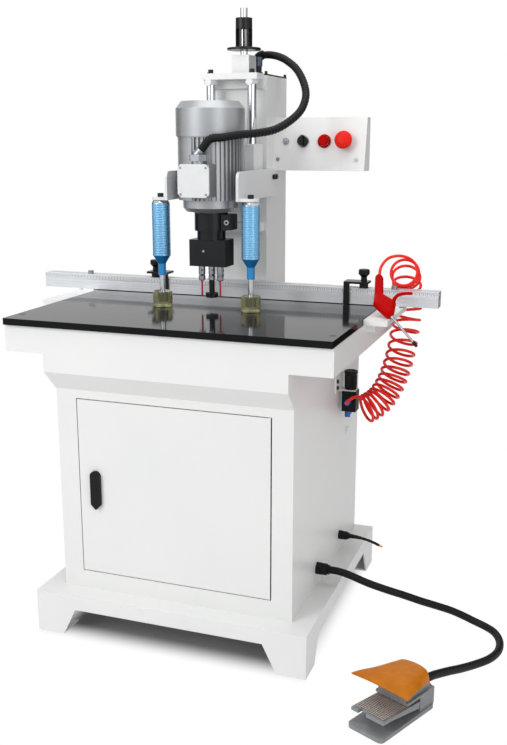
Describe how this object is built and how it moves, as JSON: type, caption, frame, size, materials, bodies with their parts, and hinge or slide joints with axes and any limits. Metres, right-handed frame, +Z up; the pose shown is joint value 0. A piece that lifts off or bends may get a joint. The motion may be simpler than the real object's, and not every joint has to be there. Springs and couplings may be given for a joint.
{
  "type": "hinge boring machine",
  "caption": "Floor-standing hinge boring machine: cabinet stand, table with fence, column with a motor-driven boring head, air clamps, control box, air gun and foot pedal.",
  "frame": {"origin": "On the floor under the middle of the plinth, the middle of its four floor bolts.", "axes": "+Z up, +Y to the back where the column stands, +X to the operator's right as seen from the front."},
  "size_m": [1.4191, 0.9097, 1.633],
  "materials": {
    "white_paint": "smooth satin paint",
    "black_table": "hard black coat with a soft sheen",
    "fence_aluminium": "anodised extrusion",
    "steel_bolts": "plain steel",
    "black_metal": "black satin",
    "light_metal": "light grey satin",
    "chrome": "ground and polished",
    "black_plastic": "matt moulding",
    "grey_plastic": "matt moulding",
    "blue_fitting": "glossy moulding",
    "blue_sleeve": "ribbed sleeve over an aluminium cylinder",
    "black_rubber": "flexible sheath",
    "grey_casting": "rough grey casting",
    "orange_plastic": "moulded guard",
    "red_plastic": "glossy moulding",
    "red_hose": "urethane tube",
    "motor_aluminium": "cast and silver painted",
    "dark_steel": "blackened steel",
    "red_drill": "coated shank",
    "pad_urethane": "soft translucent pad"
  },
  "bodies": {
    "frame": {"base_plinth": "white_paint", "cabinet_shell": "white_paint", "bed": "white_paint", "table_plate": "black_table", "fence": "fence_aluminium", "frame_bolts": "steel_bolts", "column": "white_paint", "column_cap": "black_metal", "guide_rods": "chrome", "rod_holders": "light_metal", "feed_cylinder": "white_paint", "cable_glands": "black_plastic", "air_fittings": "blue_fitting", "clamp_brackets": "light_metal", "clamp_cylinders": "blue_sleeve", "control_box": "white_paint", "regulator_body": "black_plastic", "regulator_bracket": "light_metal", "mains_stub": "black_rubber", "pedal_hose": "black_rubber", "pedal_base": "grey_casting", "pedal_hood": "orange_plastic", "gun_body": "red_plastic", "gun_nozzle": "steel_bolts", "curly_hose": "red_hose"},
    "head": {"carriage": "light_metal", "motor_frame": "motor_aluminium", "motor_cowl": "motor_aluminium", "terminal_box": "motor_aluminium", "terminal_cover": "grey_plastic", "conduit_gland": "light_metal", "head_clamp": "black_metal", "head_housing": "black_metal", "feed_rod": "chrome", "conduit": "black_rubber"},
    "depth_disc": {"stop_disc": "black_metal"},
    "depth_barrel": {"stop_barrel": "black_metal"},
    "spindle_centre": {"motor_rotor": "steel_bolts", "centre_spindle": "dark_steel", "centre_bit": "dark_steel"},
    "spindle_left": {"left_spindle": "dark_steel", "left_drill": "red_drill"},
    "spindle_right": {"right_spindle": "dark_steel", "right_drill": "red_drill"},
    "clamp_left": {"clamp_rod_left": "chrome", "clamp_pad_left": "pad_urethane"},
    "clamp_right": {"clamp_rod_right": "chrome", "clamp_pad_right": "pad_urethane"},
    "door": {"door": "white_paint"},
    "handle": {"door_handle": "black_plastic"},
    "fence_stop_left": {"stop_left": "light_metal"},
    "fence_stop_right": {"stop_right": "light_metal"},
    "fence_knob_left": {"stop_knob_left": "black_plastic"},
    "fence_knob_right": {"stop_knob_right": "black_plastic"},
    "selector": {"selector_knob": "black_plastic"},
    "push": {"push_button": "red_plastic"},
    "estop": {"estop_button": "red_plastic"},
    "pressure_knob": {"regulator_knob": "black_plastic"},
    "treadle": {"pedal_treadle": "grey_casting"},
    "lever": {"gun_lever": "red_plastic"}
  },
  "joints": [
    {"name": "head_feed", "type": "slide", "parent": "frame", "child": "head", "axis": [0, 0, 1], "range_m": [-0.0137, 0.056], "deforming": ["conduit"]},
    {"name": "depth_slide", "type": "slide", "parent": "head", "child": "depth_disc", "axis": [0, 0, 1], "range_m": [0, 0.02]},
    {"name": "depth_turn", "type": "hinge", "parent": "depth_disc", "child": "depth_barrel", "pos_m": [0, 0.232, 1.56], "axis": [0, 0, 1], "range_deg": [0, 1440]},
    {"name": "spindle_turn", "type": "hinge", "parent": "head", "child": "spindle_centre", "pos_m": [0, -0.02, 0.97], "axis": [0, 0, 1], "continuous": true},
    {"name": "left_turn", "type": "hinge", "parent": "head", "child": "spindle_left", "pos_m": [-0.026, -0.0255, 0.97], "axis": [0, 0, 1], "continuous": true},
    {"name": "right_turn", "type": "hinge", "parent": "head", "child": "spindle_right", "pos_m": [0.026, -0.0255, 0.97], "axis": [0, 0, 1], "continuous": true},
    {"name": "clamp_left_lift", "type": "slide", "parent": "frame", "child": "clamp_left", "axis": [0, 0, 1], "range_m": [0, 0.042]},
    {"name": "clamp_right_lift", "type": "slide", "parent": "frame", "child": "clamp_right", "axis": [0, 0, 1], "range_m": [0, 0.042]},
    {"name": "door_swing", "type": "hinge", "parent": "frame", "child": "door", "pos_m": [0.2595, -0.2968, 0.4], "axis": [0, 0, 1], "range_deg": [0, 95]},
    {"name": "handle_turn", "type": "hinge", "parent": "door", "child": "handle", "pos_m": [-0.215, -0.302, 0.437], "axis": [0, -1, 0], "range_deg": [0, 90]},
    {"name": "stop_left_slide", "type": "slide", "parent": "frame", "child": "fence_stop_left", "axis": [1, 0, 0], "range_m": [-0.17, 0.1]},
    {"name": "stop_right_slide", "type": "slide", "parent": "frame", "child": "fence_stop_right", "axis": [1, 0, 0], "range_m": [-0.25, 0.03]},
    {"name": "knob_left_turn", "type": "hinge", "parent": "fence_stop_left", "child": "fence_knob_left", "pos_m": [-0.245, 0.148, 0.92], "axis": [0, 0, 1], "range_deg": [-360, 360]},
    {"name": "knob_right_turn", "type": "hinge", "parent": "fence_stop_right", "child": "fence_knob_right", "pos_m": [0.375, 0.148, 0.92], "axis": [0, 0, 1], "range_deg": [-360, 360]},
    {"name": "selector_turn", "type": "hinge", "parent": "frame", "child": "selector", "pos_m": [0.1715, 0.23747, 1.279], "axis": [0, -0.9814, 0.1922], "range_deg": [-45, 45]},
    {"name": "push_press", "type": "slide", "parent": "frame", "child": "push", "axis": [0, 0.9814, -0.1922], "range_m": [0, 0.003], "stiffness_N_per_m": 600},
    {"name": "estop_press", "type": "slide", "parent": "frame", "child": "estop", "axis": [0, 0.9814, -0.1922], "range_m": [0, 0.005], "stiffness_N_per_m": 1500},
    {"name": "pressure_turn", "type": "hinge", "parent": "frame", "child": "pressure_knob", "pos_m": [0.35, 0.13, 0.64], "axis": [0, 0, 1], "range_deg": [-540, 540]},
    {"name": "treadle_press", "type": "hinge", "parent": "frame", "child": "treadle", "pos_m": [0.63945, -0.36161, 0.03], "axis": [0.9063, -0.4226, 0], "range_deg": [0, 9], "stiffness_Nm_per_rad": 5, "springref_deg": -14.32},
    {"name": "lever_press", "type": "hinge", "parent": "frame", "child": "lever", "pos_m": [0.49, -0.004, 0.89], "axis": [0, 1, 0], "range_deg": [0, 12], "stiffness_Nm_per_rad": 0.5, "springref_deg": -11.46}
  ],
  "couplings": [
    {"joint": "left_turn", "follows": "spindle_turn", "ratio": -1},
    {"joint": "right_turn", "follows": "spindle_turn", "ratio": -1},
    {"joint": "depth_slide", "follows": "depth_turn", "m_per_rad": 0.00079577}
  ]
}
